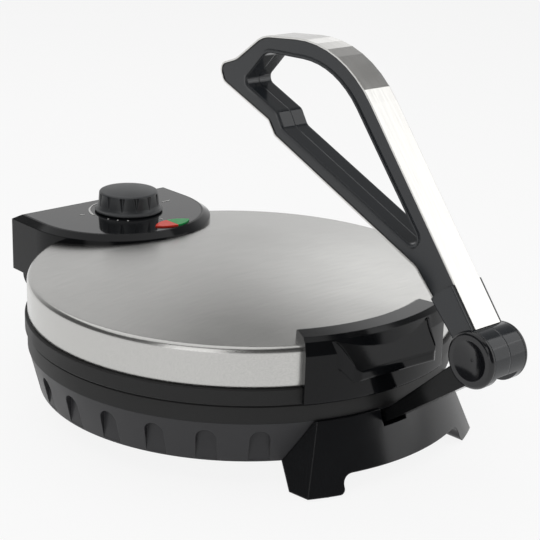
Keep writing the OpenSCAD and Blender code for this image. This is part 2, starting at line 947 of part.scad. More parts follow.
// The chamfer round the top: a cone at the front, sloped sides and a sloped rear
module house_top(inset) {
    c = house_chamfer;
    h = chamfer_h;
    w = house_half_w - inset;
    z = house_top_z - inset;
    intersection() {
        union() {
            translate([0, house_mid_y, z - h])
                cylinder(r1 = w, r2 = w - c, h = h);
            translate([0, house_back_y, 0])
                rotate([90, 0, 0])
                    linear_extrude(height = house_back_y - house_mid_y)
                        polygon([[-w, z - h], [w, z - h], [w - c, z], [-w + c, z]]);
        }
        side_plate(-far / 2, far / 2)
            polygon([
                [0, z - h - 1], [house_back_y - inset, z - h - 1], [house_back_y - inset, z - h],
                [house_back_y - inset - c, z], [0, z]
            ]);
    }
}
// The space that the lid's steel, ring and handle side take below the housing
module lid_room() {
    rotate_extrude()
        polygon(concat(
            [[0, 0], [lid_ring_r + seat_gap, 0], [lid_ring_r + seat_gap, band_z + 0.4], [lid_r + seat_gap, band_z + 0.8]],
            [for (i = [0:6]) [crease_r + (2.2 + seat_gap) * cos(i * 15), shoulder_z + (shoulder_h + seat_gap) * sin(i * 15)]],
            [for (i = [1:12]) let (r = crease_r * (1 - i / 12)) [r, dome_at(r) + seat_gap]]
        ));
}
module knob_hole(r) {
    translate([knob_x, knob_y, 0])
        cylinder(r = r, h = far);
}
module control_housing() {
    color(black)
        on_axis()
            difference() {
                union() {
                    difference() {
                        union() {
                            house_slab(0, house_low, house_top_z - chamfer_h);
                            house_top(0);
                        }
                        house_slab(house_wall, 0, house_top_z - house_wall - chamfer_h + 0.5);
                        intersection() {
                            house_top(house_wall);
                            translate([-far / 2, 0, 0])
                                cube([far, far, roof_low]);
                        }
                        house_slab(panel_in, panel_z, house_top_z + 1);
                        translate([-knuckle_in, house_back_y - 20, 0])
                            cube([2 * knuckle_in, 40, back_wall_low]);
                    }
                    both_sides()
                        translate([0, hinge_y, hinge_z])
                            x_bar(knuckle_r, knuckle_in, house_half_w - 1);
                }
                lid_room();
                knob_hole(neck_r + seat_gap);
                lens_pair(lens_gap);
                translate([0, hinge_y, hinge_z])
                    x_bar(hinge_pin_r + run_fit, -house_in_w, house_in_w);
            }
}
module control_panel() {
    color("#5a5a5c")
        on_axis()
            difference() {
                house_slab(panel_in + seat_gap, panel_z + seat_gap / 2, house_top_z + 0.1);
                knob_hole(neck_r + seat_gap);
                lens_pair(lens_gap);
            }
}
// The two lenses are the halves of one leaf, which is the overlap of two circles
module leaf(extra) {
    r = (pow(lens_long, 2) + pow(lens_wide, 2)) / (2 * lens_wide);
    translate([lens_x, lens_y])
        intersection() {
            translate([0, r - lens_wide])
                circle(r = r + extra);
            translate([0, lens_wide - r])
                circle(r = r + extra);
        }
}
module lens_body(side) {
    on_axis()
        translate([0, 0, roof_low])
            linear_extrude(height = house_top_z + lens_h - roof_low)
                intersection() {
                    leaf(0);
                    translate([lens_x + (side > 0 ? 0.1 : -40.1), 0])
                        square([40, 200]);
                }
}
module lens_pair(extra) {
    translate([0, 0, roof_low - 1])
        linear_extrude(height = far)
            leaf(extra);
}
module lens_red() {
    color("#e8442e")
        lens_body(-1);
}
module lens_green() {
    color("#12a050")
        lens_body(1);
}
module indicator_lamps() {
    color("#f0e0c0")
        on_axis()
            for (s = [-1, 1])
                translate([lens_x + s * lens_long / 2, lens_y, roof_low - 1.3])
                    cylinder(r = 2.2, h = 1.1);
}
// White dial print: a tapered arc that grows with the heat, three dots and three ticks
module dial_scale() {
    z = house_top_z + 0.1;
    print_t = 0.25;
    arc_r = knob_r + 3.3;
    tick_w = 0.8;
    color("#e8e8e6")
        on_axis()
            translate([knob_x, knob_y, z]) {
                linear_extrude(height = print_t)
                    intersection() {
                        difference() {
                            rotate(225)
                                translate([0.9, 0])
                                    circle(r = arc_r + 1.2);
                            circle(r = arc_r);
                        }
                        wall_pie(108, 173);
                    }
                for (a = [203, 218, 233])
                    rotate([0, 0, a])
                        translate([arc_r + 0.4, 0, 0])
                            cylinder(r = 0.6, h = print_t, $fn = 24);
                for (t = [[3, 7.1, 8], [166, 9.7, 3.6], [279, 6.9, 3.2]])
                    rotate([0, 0, t[0]])
                        translate([knob_r + t[1], -tick_w / 2, 0])
                            cube([t[2], tick_w, print_t]);
            }
}

// Knob
module thermostat_knob() {
    low = house_top_z + 0.6;
    crown = 1.6;
    edge_r = 1.8;
    flat_r = knob_grip_r - edge_r - 0.6;
    edge_z = knob_h - crown - edge_r;
    color("#3c3e40")
        on_axis()
            translate([knob_x, knob_y, low])
                difference() {
                    rotate_extrude()
                        polygon(concat(
                            [[0, 0], [knob_r - 0.4, 0], [knob_r, 0.5], [knob_r, 1.4], [knob_grip_r + 0.9, 2.5],
                             [knob_grip_r + 0.1, 4.2]],
                            [for (i = [0:4]) [flat_r + edge_r * cos(i * 22.5), edge_z + edge_r * sin(i * 22.5)]],
                            [for (i = [1:5]) let (r = flat_r * (1 - i / 5))
                                [r, knob_h - crown * pow(r / flat_r, 2)]]
                        ));
                    for (i = [0:knob_notches - 1])
                        rotate([0, 0, i * 360 / knob_notches])
                            translate([knob_grip_r + 1, 0, 3.4])
                                cylinder(r1 = 0.3, r2 = 3.2, h = knob_h - 3);
                    translate([0, 0, -1])
                        cylinder(r = shaft_r + seat_gap / 2, h = knob_h - 3);
                    translate([0, 0, -1])
                        cylinder(r = neck_r + move_gap, h = 2.2);
                }
}
module thermostat_shaft() {
    color(steel)
        on_axis()
            translate([knob_x, knob_y, shaft_low + 0.5])
                cylinder(r = shaft_r, h = house_top_z + knob_h - 4.5 - shaft_low);
}

// Lid handle
module handle_profile() {
    r0 = lid_r + seat_gap;
    r1 = lid_ring_r + seat_gap + handle_t / 2;
    top = crease_z + lip_h;
    lip_r = crease_r - 12;
    polygon([
        [lid_ring_r + seat_gap, lid_ring_z + 0.6], [r1, lid_ring_z + 0.6], [r1 + 1, lid_ring_z + 2],
        [r1 + 1, shoulder_z], [r1 - 1.6, top - 3], [r1 - 5, top - 0.6], [lip_r + 3, top], [lip_r, top - 1.6],
        [lip_r, dome_at(lip_r) + seat_gap], [crease_r, crease_z + seat_gap],
        [lid_r - 0.6, shoulder_z + shoulder_h * 0.72 + seat_gap], [r0, shoulder_z + seat_gap],
        [r0, band_z + seat_gap], [lid_ring_r + seat_gap, band_z + seat_gap]
    ]);
}
// The ledge's side outline, with its top moved up by lift
module ledge_side(lift) {
    root_y = lid_r - 2;
    top = crease_z + 3 + lift;
    low = ledge_z - ledge_t;
    side_plate(-60, 60)
        polygon(outline([
            [-ledge_y, low, 2.5], [-root_y - 2, low + 11, 3], [-root_y + 8, low + 11, 0],
            [-root_y + 8, top, 0], [-root_y - 3, top, 3], [-ledge_y, ledge_z + lift, 3.5]
        ]));
}
// The ledge from above, its sides moved in by inset
module ledge_plan(inset, reach) {
    root_y = lid_r - 8;
    waist_y = lid_r + 4;
    root = ledge_root_w - inset;
    waist = ledge_waist_w - inset;
    front = ledge_front_w - inset;
    translate([0, 0, 40])
        linear_extrude(height = 80)
            polygon(outline([
                [-root, -root_y, 0], [-waist, -waist_y, 20], [-front, -reach, 5], [front, -reach, 5],
                [waist, -waist_y, 20], [root, -root_y, 0]
            ]));
}
module handle_ledge() {
    intersection() {
        ledge_side(0);
        ledge_plan(0, ledge_y);
    }
    intersection() {
        ledge_side(0.9);
        difference() {
            ledge_plan(0, ledge_y);
            ledge_plan(2, ledge_y + 12);
        }
    }
}
module lid_handle() {
    color(black)
        on_axis()
            difference() {
                rotate([0, 0, handle_turn]) {
                    rotate([0, 0, -90 - handle_half_a])
                        rotate_extrude(angle = 2 * handle_half_a)
                            handle_profile();
                    difference() {
                        handle_ledge();
                        cylinder(r = lid_ring_r + seat_gap + handle_t / 4, h = far);
                    }
                }
                handle_screw_places()
                    rotate([90, 0, 0])
                        translate([0, 0, -2])
                            cylinder(r = screw_r + pilot_gap, h = 8);
            }
}
module handle_screw_places() {
    for (s = [-1, 1])
        rotate([0, 0, handle_turn + s * 16])
            translate([0, -lid_r + sheet_t + seat_gap, band_z + 14])
                children();
}
module handle_screws() {
    color(metal)
        on_axis()
            handle_screw_places()
                rotate([90, 0, 0])
                    screw_up(5.4);
}

// Lever
module lever_side() {
    difference() {
        polygon(outline(LEVER, 8));
        polygon(outline(LOOP, 8));
    }
}
// Pie-shaped room from angle a0 to a1 for the barrel's wall
module wall_pie(a0, a1) {
    reach = 60;
    polygon(concat(
        [[0, 0]],
        [for (i = [0:8]) let (a = a0 + (a1 - a0) * i / 8) reach * [cos(a), sin(a)]]
    ));
}
module lever_half(inner) {
    side_plate(inner, arm_half)
        difference() {
            lever_side();
            circle(r = bore_wall_r);
        }
    side_plate(inner, eye_out)
        difference() {
            intersection() {
                circle(r = barrel_r);
                wall_pie(wall_a0, wall_a1);
            }
            circle(r = bore_wall_r);
        }
    side_plate(arm_half - 0.1, arm_half + 0.9)
        difference() {
            polygon(outline(grown(LOOP, 2.2), 8));
            polygon(outline(grown(LOOP, 0.6), 8));
        }
    side_plate(arm_half - 0.1, eye_out)
        intersection() {
            lever_side();
            circle(r = barrel_r + 27);
        }
    difference() {
        x_bar(barrel_r, eye_in, eye_out);
        x_bar(bolt_r + run_fit, 0, 40);
        x_bar(bolt_head_r + seat_gap, eye_out - bolt_head_h - seat_gap, 40);
    }
}
LEVER_SCREWS = [[30, 36], [127, 148.4], [222, 130.5]];
module lever_screw_holes(r, head_r) {
    for (p = LEVER_SCREWS)
        translate([0, p[0], p[1]]) {
            x_bar(r, -arm_half + 3, arm_half + 2);
            x_bar(head_r, arm_half - 2.4, arm_half + 2);
        }
}
module lever_half_clean(inner) {
    difference() {
        lever_half(inner);
        x_bar(bolt_r + run_fit, 0, 40);
        x_bar(bolt_head_r + seat_gap, eye_out - bolt_head_h - seat_gap, 40);
    }
}
module lever_half_left() {
    color("#23262b")
        at_pivot()
            mirror([1, 0, 0])
                difference() {
                    lever_half_clean(0.05);
                    for (p = LEVER_SCREWS)
                        translate([0, p[0], p[1]])
                            x_bar(screw_r + pilot_gap, -1, arm_half - 3);
                }
}
module lever_half_right() {
    color("#23262b")
        at_pivot()
            difference() {
                lever_half_clean(0.05);
                lever_screw_holes(screw_r + pilot_gap, screw_head_r + seat_gap);
            }
}
module lever_screws() {
    color(metal)
        at_pivot()
            for (p = LEVER_SCREWS)
                translate([arm_half - 2.3, p[0], p[1]])
                    rotate([0, -90, 0])
                        screw_up(14);
}
module lever_strip() {
    color("#d4d2ce")
        at_pivot()
            side_plate(-strip_half, strip_half)
                difference() {
                    polygon(outline(grown(LEVER, strip_t + 0.1), 8));
                    polygon(outline(grown(LEVER, 0.1), 8));
                    circle(r = barrel_r + 0.3);
                }
}
module pivot_bolt() {
    color(steel)
        at_pivot() {
            x_bar(bolt_r, -eye_out + 0.1, eye_out - 0.1);
            for (s = [0, 1])
                mirror([s, 0, 0])
                    x_bar(bolt_head_r, eye_out - bolt_head_h, eye_out - 0.1);
        }
}
module pivot_caps() {
    dish_r = 12.2;
    deep = 2.6;
    ball_r = (dish_r * dish_r + deep * deep) / (2 * deep);
    color("#17181b")
        at_pivot()
            both_sides()
                difference() {
                    rotate([0, 90, 0])
                        rotate_extrude()
                            polygon([
                                [0, barrel_half - cap_t], [barrel_r, barrel_half - cap_t], [barrel_r, barrel_half - 2],
                                [barrel_r - 0.4, barrel_half - 1.1], [barrel_r - 1.1, barrel_half - 0.4],
                                [barrel_r - 2, barrel_half], [0, barrel_half]
                            ]);
                    translate([barrel_half + ball_r - deep, 0, 0])
                        sphere(r = ball_r);
                    x_bar(0.9, barrel_half - deep - 0.3, barrel_half);
                }
}
module pivot_washers() {
    color(steel)
        at_pivot()
            both_sides()
                difference() {
                    x_bar(washer_r, tongue_half + 0.1, eye_in - 0.1);
                    x_bar(bolt_r + run_fit, 0, 20);
                }
}

base_shell();
base_ring();
front_leg_panel();
rear_leg_panel();
foot_pads();
bottom_cover();
cover_screws();
lower_plate();
lower_element();
lower_reflector();
lower_cutout();
lower_terminal_block();
lever_bracket();
bracket_screws();
hinge_pin();
cord_gland();
lid_cover();
lid_ring();
upper_plate();
upper_element();
upper_reflector();
thermal_fuse();
upper_terminal_block();
thermostat();
control_housing();
control_panel();
dial_scale();
lens_red();
lens_green();
indicator_lamps();
lid_handle();
handle_screws();
thermostat_knob();
thermostat_shaft();
pivot_bolt();
pivot_caps();
pivot_washers();
lever_half_left();
lever_half_right();
lever_strip();
lever_screws();
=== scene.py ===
"""Looks of the electric roti maker: finishes for its solids, and finer surfaces where the eye rests."""

import math

import bpy
import numpy as np
from bpy.props import FloatProperty, FloatVectorProperty, IntProperty, PointerProperty
from mathutils import Matrix, Vector


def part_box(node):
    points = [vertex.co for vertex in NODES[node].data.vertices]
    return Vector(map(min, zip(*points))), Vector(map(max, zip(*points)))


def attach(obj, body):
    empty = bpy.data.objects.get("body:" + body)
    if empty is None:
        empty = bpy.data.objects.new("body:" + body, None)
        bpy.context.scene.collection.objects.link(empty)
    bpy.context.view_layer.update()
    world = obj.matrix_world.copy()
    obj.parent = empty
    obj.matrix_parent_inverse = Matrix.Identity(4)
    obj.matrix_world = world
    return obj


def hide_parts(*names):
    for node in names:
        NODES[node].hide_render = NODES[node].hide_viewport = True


bl_info = {
    "name": "Roti Maker",
    "version": (1, 0, 0),
    "blender": (4, 5, 0),
    "location": "View3D > Sidebar > Roti Maker",
    "description": "Adds the finishes and fine surfaces of an electric roti maker",
    "category": "Add Mesh",
}

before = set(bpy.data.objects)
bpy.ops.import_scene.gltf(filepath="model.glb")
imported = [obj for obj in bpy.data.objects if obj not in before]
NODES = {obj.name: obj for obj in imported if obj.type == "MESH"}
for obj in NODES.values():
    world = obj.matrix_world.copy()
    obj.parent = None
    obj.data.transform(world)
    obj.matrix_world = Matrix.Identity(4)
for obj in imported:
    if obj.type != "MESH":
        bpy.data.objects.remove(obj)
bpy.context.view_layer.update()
MM = 0.001


def centre_of(name):
    """Middle of a solid's box, in metres."""
    low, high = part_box(name)
    return (low + high) / 2


# Places and sizes taken from the solids, in metres
RING_LOW, RING_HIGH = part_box("lid_ring")
COVER_LOW, COVER_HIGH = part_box("lid_cover")
KNOB_LOW, KNOB_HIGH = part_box("thermostat_knob")
LID_Y = (RING_LOW.y + RING_HIGH.y) / 2
LID_R = (COVER_HIGH.x - COVER_LOW.x) / 2
KNOB_R = (KNOB_HIGH.x - KNOB_LOW.x) / 2
KNOB_MIDDLE = centre_of("thermostat_knob")

# Size in millimetres of the slow drift in a moulding's tone and gloss
DRIFT = 14.0


# Colours and materials


def linear(code):
    """An sRGB hex colour as the linear red, green, blue and alpha that shaders take."""
    parts = [int(code.lstrip("#")[i : i + 2], 16) / 255 for i in (0, 2, 4)]
    return [c / 12.92 if c <= 0.04045 else ((c + 0.055) / 1.055) ** 2.4 for c in parts] + [1.0]


def add(tree, kind, links=(), inputs=(), **settings):
    """Adds a node, sets its options and inputs, and links (input, socket) pairs into it."""
    n = tree.nodes.new(kind)
    for key, value in settings.items():
        setattr(n, key, value)
    for key, value in dict(inputs).items():
        n.inputs[key].default_value = value
    for key, socket in links:
        tree.links.new(socket, n.inputs[key])
    return n


def blank(name):
    """A new material and its empty node tree."""
    m = bpy.data.materials.new(name)
    m.use_nodes = True
    m.node_tree.nodes.clear()
    return m, m.node_tree


def start(name):
    """A material with its output, one shader, and the Object coordinates it reads."""
    m, t = blank(name)
    shader = add(t, "ShaderNodeBsdfPrincipled")
    add(t, "ShaderNodeOutputMaterial", links=[("Surface", shader.outputs["BSDF"])])
    where = add(t, "ShaderNodeTexCoord")
    return m, t, shader, where.outputs["Object"]


def grain(t, where, size, detail=2.0, stretch=(1, 1, 1), turn=(0, 0, 0)):
    """Noise with the given grain size in millimetres. A stretch below 1 draws it out along that axis, and
    the turn comes after the stretch, so it only turns the noise's own lattice."""
    placed = add(
        t,
        "ShaderNodeMapping",
        links=[("Vector", where)],
        inputs={"Scale": stretch, "Rotation": turn},
    )
    return add(
        t,
        "ShaderNodeTexNoise",
        links=[("Vector", placed.outputs["Vector"])],
        inputs={"Scale": 1 / (size * MM * 2), "Detail": detail},
    ).outputs["Fac"]


def two_tone(t, shader, value, first, second):
    """Colours the shader with a blend of two hex colours."""
    blend = add(
        t,
        "ShaderNodeMix",
        links=[("Factor", value)],
        inputs={6: linear(first), 7: linear(second)},
        data_type="RGBA",
    )
    t.links.new(blend.outputs[2], shader.inputs["Base Color"])


def uneven_gloss(t, shader, value, low, high):
    """Lets the roughness wander from low to high as noise goes over its usual 0.3 to 0.7."""
    spread = add(
        t,
        "ShaderNodeMapRange",
        links=[("Value", value)],
        inputs={"From Min": 0.3, "From Max": 0.7, "To Min": low, "To Max": high},
    )
    t.links.new(spread.outputs["Result"], shader.inputs["Roughness"])


def relief(t, shader, height, depth, edge=0.0):
    """Bump of the given depth in millimetres over edges that are rounded by edge millimetres."""
    links = [("Height", height)]
    if edge:
        soft = add(t, "ShaderNodeBevel", inputs={"Radius": edge * MM}, samples=6)
        links.append(("Normal", soft.outputs["Normal"]))
    bump = add(t, "ShaderNodeBump", links=links, inputs={"Distance": depth * MM, "Strength": 1.0})
    t.links.new(bump.outputs["Normal"], shader.inputs["Normal"])


def moulded(name, tone, shade, rough, size, depth, edge=0.5, spread=0.04, specular=0.5):
    """A moulded or sprayed surface: two close tones, an uneven gloss and the grain of its mould.
    The grain is size millimetres wide and depth high, and edges are rounded by edge millimetres."""
    m, t, shader, where = start(name)
    fine = grain(t, where, size)
    broad = grain(t, where, DRIFT)
    two_tone(t, shader, broad, tone, shade)
    uneven_gloss(t, shader, broad, rough - spread, rough + spread)
    shader.inputs["Specular IOR Level"].default_value = specular
    relief(t, shader, fine, depth, edge)
    return m


def gloss_abs(name, tone, shade, rough=0.12, edge=0.8, specular=0.5):
    """High-gloss moulded ABS: nearly black and mirror-like, with a faint ripple 9 mm wide and soft edges."""
    return moulded(name, tone, shade, rough, size=9.0, depth=0.012, edge=edge, spread=0.02, specular=specular)


def brushed_stainless(name):
    """Brushed stainless sheet: a soft grey metal that streaks the light along fine parallel scratches.
    The real ones are under 0.1 mm apart, and are drawn 0.35 mm apart so that they show."""
    m, t, shader, where = start(name)
    # Keeps the lattice from lining up with the scratches
    lattice_turn = math.radians(40)
    lines = grain(t, where, 0.35, detail=3.0, stretch=(0.03, 1, 1), turn=(0, 0, lattice_turn))
    cloudy = grain(t, where, 30.0)
    two_tone(t, shader, lines, "#B4B4B2", "#C8C7C4")
    uneven_gloss(t, shader, cloudy, 0.22, 0.27)
    shader.inputs["Metallic"].default_value = 1.0
    relief(t, shader, lines, 0.004)
    return m


def polished_steel(name, tone="#D2D0CC", shade="#C6C4C0", rough=0.14):
    """Belt-polished steel: bright, with faint lines that are drawn 0.5 mm apart so that they show."""
    m, t, shader, where = start(name)
    lines = grain(t, where, 0.5, stretch=(1, 0.05, 0.05))
    two_tone(t, shader, lines, tone, shade)
    uneven_gloss(t, shader, lines, rough - 0.03, rough + 0.05)
    shader.inputs["Metallic"].default_value = 1.0
    relief(t, shader, lines, 0.002, 0.3)
    return m


def lens_plastic(name, tone, shade):
    """Moulded tinted polystyrene: a full, smooth colour, with a little light spreading under its surface."""
    m, t, shader, where = start(name)
    cloud = grain(t, where, 3.0)
    two_tone(t, shader, cloud, tone, shade)
    uneven_gloss(t, shader, cloud, 0.16, 0.24)
    shader.inputs["Specular IOR Level"].default_value = 0.15
    shader.inputs["Subsurface Weight"].default_value = 0.2
    shader.inputs["Subsurface Radius"].default_value = (0.002, 0.002, 0.002)
    relief(t, shader, cloud, 0.01, 0.3)
    return m


def finish_nodes(material, *names):
    """Gives a finish to solids that keep their own shape."""
    for name in names:
        mesh = NODES[name].data
        mesh.materials.clear()
        mesh.materials.append(material)


# Surfaces


def lay_mesh(name, points, faces, material, body, stands_for=()):
    """Puts arrays of points (metres) and faces into a smooth mesh that rides on a body."""
    mesh = bpy.data.meshes.new(name)
    mesh.from_pydata(points.tolist(), [], faces)
    mesh.polygons.foreach_set("use_smooth", np.ones(len(mesh.polygons), bool))
    mesh.materials.append(material)
    mesh.update()
    piece = bpy.data.objects.new(name, mesh)
    bpy.context.scene.collection.objects.link(piece)
    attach(piece, body)
    if stands_for:
        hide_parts(*stands_for)
    return piece


def grid_faces(rows, columns):
    """Quads of a grid of rows by columns points, whose last row joins its first."""
    r, c = np.arange(rows), np.arange(columns - 1)
    i, j = np.meshgrid(r, c, indexing="ij")
    k, n = (i + 1) % rows, j + 1
    quads = np.stack([i * columns + j, i * columns + n, k * columns + n, k * columns + j], -1)
    return quads.reshape(-1, 4).tolist()


def arc(cx, cz, r, a0, a1, steps):
    """Points on a circle of radius r about (cx, cz) from angle a0 to a1 in degrees."""
    a = np.radians(np.linspace(a0, a1, steps))
    return np.stack([cx + r * np.cos(a), cz + r * np.sin(a)], 1)


def along(points, step):
    """Adds points on each straight stretch so that none is longer than step."""
    out = []
    for a, b in zip(points[:-1], points[1:]):
        count = max(1, int(math.ceil(math.dist(a, b) / step)))
        out.append(np.linspace(a, b, count, endpoint=False))
    return np.concatenate(out + [points[-1:]])


def revolved(profile, centre, steps):
    """Each profile point (radius, height) goes round the upright line through centre:
    x = centre x + r cos a, y = centre y + r sin a, z = height."""
    a = np.linspace(0, 2 * np.pi, steps, endpoint=False)[:, None]
    r, z = profile[None, :, 0], profile[None, :, 1]
    points = np.stack([centre[0] + r * np.cos(a), centre[1] + r * np.sin(a), z + 0 * a], -1)
    return points.reshape(-1, 3), grid_faces(steps, len(profile))


# Sizes and colours a user may change


class RotiLidSettings(bpy.types.PropertyGroup):
    """Sizes of the steel lid"""

    shoulder: FloatProperty(
        name="Shoulder",
        description="Height of the rounded shoulder above the band",
        default=3.5 * MM,
        unit="LENGTH",
    )
    rise: FloatProperty(
        name="Rise",
        description="Rise of the dome above its edge",
        default=5.0 * MM,
        unit="LENGTH",
    )
    inset: FloatProperty(
        name="Inset",
        description="How far the dome's edge lies inside the band",
        default=2.2 * MM,
        unit="LENGTH",
    )


class RotiKnobSettings(bpy.types.PropertyGroup):
    """Grip of the knob"""

    notches: IntProperty(
        name="Notches",
        description="Number of grip notches round the knob",
        default=13,
        min=6,
    )
    depth: FloatProperty(
        name="Notch Depth",
        description="Depth of a grip notch",
        default=2.1 * MM,
        unit="LENGTH",
    )


class RotiStageSettings(bpy.types.PropertyGroup):
    """Camera and background"""

    lens: FloatProperty(
        name="Focal Length",
        description="Focal length of the camera in millimetres",
        default=97.85,
        unit="CAMERA",
    )
    backdrop: FloatVectorProperty(
        name="Backdrop",
        description="Colour of the floor and the background",
        subtype="COLOR",
        default=(1.0, 1.0, 1.0),
    )


# Operators


class ROTI_OT_base(bpy.types.Operator):
    """Finishes the skirt, rings, legs, bracket, hinge and what lies inside the base"""

    bl_idname = "roti.base"
    bl_label = "Base"

    def execute(self, context):
        # Moulded phenolic has a satin grain 0.5 mm wide: a dark grey skirt, and darker and rougher rings
        skirt = moulded(
            "satin_phenolic_grey",
            "#38383A",
            "#3E3E40",
            rough=0.44,
            size=0.5,
            depth=0.03,
            edge=0.6,
            specular=0.3,
        )
        rings = moulded(
            "grained_phenolic_charcoal",
            "#272727",
            "#2E2E2E",
            rough=0.52,
            size=0.45,
            depth=0.06,
            edge=0.4,
            specular=0.25,
        )
        finish_nodes(skirt, "base_shell", "bottom_cover")
        finish_nodes(rings, "base_ring", "lid_ring")
        legs = gloss_abs("gloss_abs_legs", "#121315", "#16171A", rough=0.18)
        finish_nodes(legs, "front_leg_panel", "rear_leg_panel")
        bracket = gloss_abs("gloss_abs_bracket", "#0A0B0C", "#0E0F10", rough=0.16, specular=0.2)
        finish_nodes(bracket, "lever_bracket")
        # Moulded rubber is dull, with a fine tooth 0.3 mm wide
        rubber = moulded("moulded_rubber", "#1E1E20", "#262628", rough=0.75, size=0.3, depth=0.05)
        finish_nodes(rubber, "foot_pads", "cord_gland")
        # Zinc plate is a bluer and duller grey than the polished pins
        zinc = polished_steel("zinc_plated_steel", "#8E9093", "#9A9CA0", rough=0.32)
        finish_nodes(zinc, "cover_screws", "bracket_screws", "handle_screws", "lever_screws")
        bright = polished_steel("polished_steel_pin")
        finish_nodes(bright, "hinge_pin", "thermostat_shaft", "pivot_bolt", "pivot_washers")
        return {"FINISHED"}


class ROTI_OT_works(bpy.types.Operator):
    """Finishes the plates, elements, reflectors and electric parts inside the base and the lid"""

    bl_idname = "roti.works"
    bl_label = "Plates and Works"

    def execute(self, context):
        # A sprayed non-stick coat: dark grey, with a soft sheen and a slight orange peel 1.2 mm wide
        coat = moulded("non_stick_coat", "#4A4B4E", "#545558", rough=0.34, size=1.2, depth=0.02, spread=0.05)
        finish_nodes(coat, "lower_plate", "upper_plate")
        # Drawn steel tube that heat has browned unevenly: a dull dark grey-brown
        tube = moulded("heat_darkened_tube", "#4A4845", "#625F5A", rough=0.5, size=2.0, depth=0.02, edge=0.0)
        finish_nodes(tube, "lower_element", "upper_element")
        # Aluminised sheet is whiter than zinc and just as dull
        pan = polished_steel("aluminised_steel_pan", "#A9ABAD", "#B9BBBD", rough=0.34)
        finish_nodes(pan, "lower_reflector", "upper_reflector")
        # Pressed unglazed steatite: cream and chalky
        ceramic = moulded(
            "steatite_ceramic",
            "#DCD6C8",
            "#E6E1D5",
            rough=0.55,
            size=0.8,
            depth=0.03,
            edge=0.4,
        )
        finish_nodes(ceramic, "lower_cutout", "lower_terminal_block", "thermal_fuse")
        finish_nodes(ceramic, "upper_terminal_block", "thermostat", "indicator_lamps")
        return {"FINISHED"}


class ROTI_OT_lid(bpy.types.Operator):
    """Adds the pressed steel lid. Its outline goes up the band, then round an elliptic shoulder,
    r = crease r + inset cos a and z = shoulder z + shoulder height sin a, then over the crown,
    z = crease z + rise (1 - (r / crease r) squared), and turns about the lid's axis"""

    bl_idname = "roti.lid"
    bl_label = "Steel Lid"

    def execute(self, context):
        lid = context.scene.roti_lid
        steel = brushed_stainless("brushed_stainless_sheet")
        low, r = COVER_LOW.z, LID_R
        lower_edge, sheet, longest_step = 0.3 * MM, 1.0 * MM, 4 * MM
        crease_r, crease_z = r - lid.inset, COVER_HIGH.z - lid.rise
        # The shoulder ends short of level, in degrees, and the crown starts inside it, for a soft crease
        shoulder_end, crease_gap = 84, 0.9 * MM
        a = np.radians(np.linspace(0, shoulder_end, 12))
        shoulder_z = crease_z - lid.shoulder
        shoulder = np.stack([crease_r + lid.inset * np.cos(a), shoulder_z + lid.shoulder * np.sin(a)], 1)
        crown_r = np.linspace(crease_r - crease_gap, 0.0, 60)
        crown = np.stack([crown_r, crease_z + lid.rise * (1 - (crown_r / crease_r) ** 2)], 1)
        band = [[r - lower_edge, low], [r, low + lower_edge]]
        outside = along(np.concatenate([band, shoulder, crown]), longest_step)
        points, faces = revolved(outside, (0.0, LID_Y), 360)
        skin = lay_mesh("lid_skin", points, faces, steel, "lid", ["lid_cover"])
        # Closes the middle of the crown, where the outline meets the lid's axis
        weld = skin.modifiers.new("pole", "WELD")
        weld.merge_threshold = 0.01 * MM
        wall = skin.modifiers.new("sheet", "SOLIDIFY")
        wall.thickness = sheet
        wall.offset = -1
        return {"FINISHED"}


class ROTI_OT_housing(bpy.types.Operator):
    """Finishes the control housing, its panel and print, and the grip of the lid"""

    bl_idname = "roti.housing"
    bl_label = "Housing and Grip"

    def execute(self, context):
        gloss = gloss_abs("gloss_abs_housing", "#0E0F11", "#121315", specular=0.2)
        finish_nodes(gloss, "control_housing", "lid_handle")
        # The panel comes out of a polished mould and mirrors most
        mirror = gloss_abs("gloss_abs_panel", "#121315", "#151618", rough=0.07, edge=0.3)
        finish_nodes(mirror, "control_panel")
        # Pad-printed ink: a flat, dull white
        ink = moulded("white_pad_print", "#DCDCDA", "#E8E8E6", rough=0.5, size=0.4, depth=0.01, edge=0.0)
        finish_nodes(ink, "dial_scale")
        return {"FINISHED"}


class ROTI_OT_lenses(bpy.types.Operator):
    """Finishes the two indicator lenses"""

    bl_idname = "roti.lenses"
    bl_label = "Indicator Lenses"

    def execute(self, context):
        finish_nodes(lens_plastic("red_polystyrene", "#E8402C", "#DC3A28"), "lens_red")
        finish_nodes(lens_plastic("green_polystyrene", "#0FA04E", "#0C9446"), "lens_green")
        return {"FINISHED"}


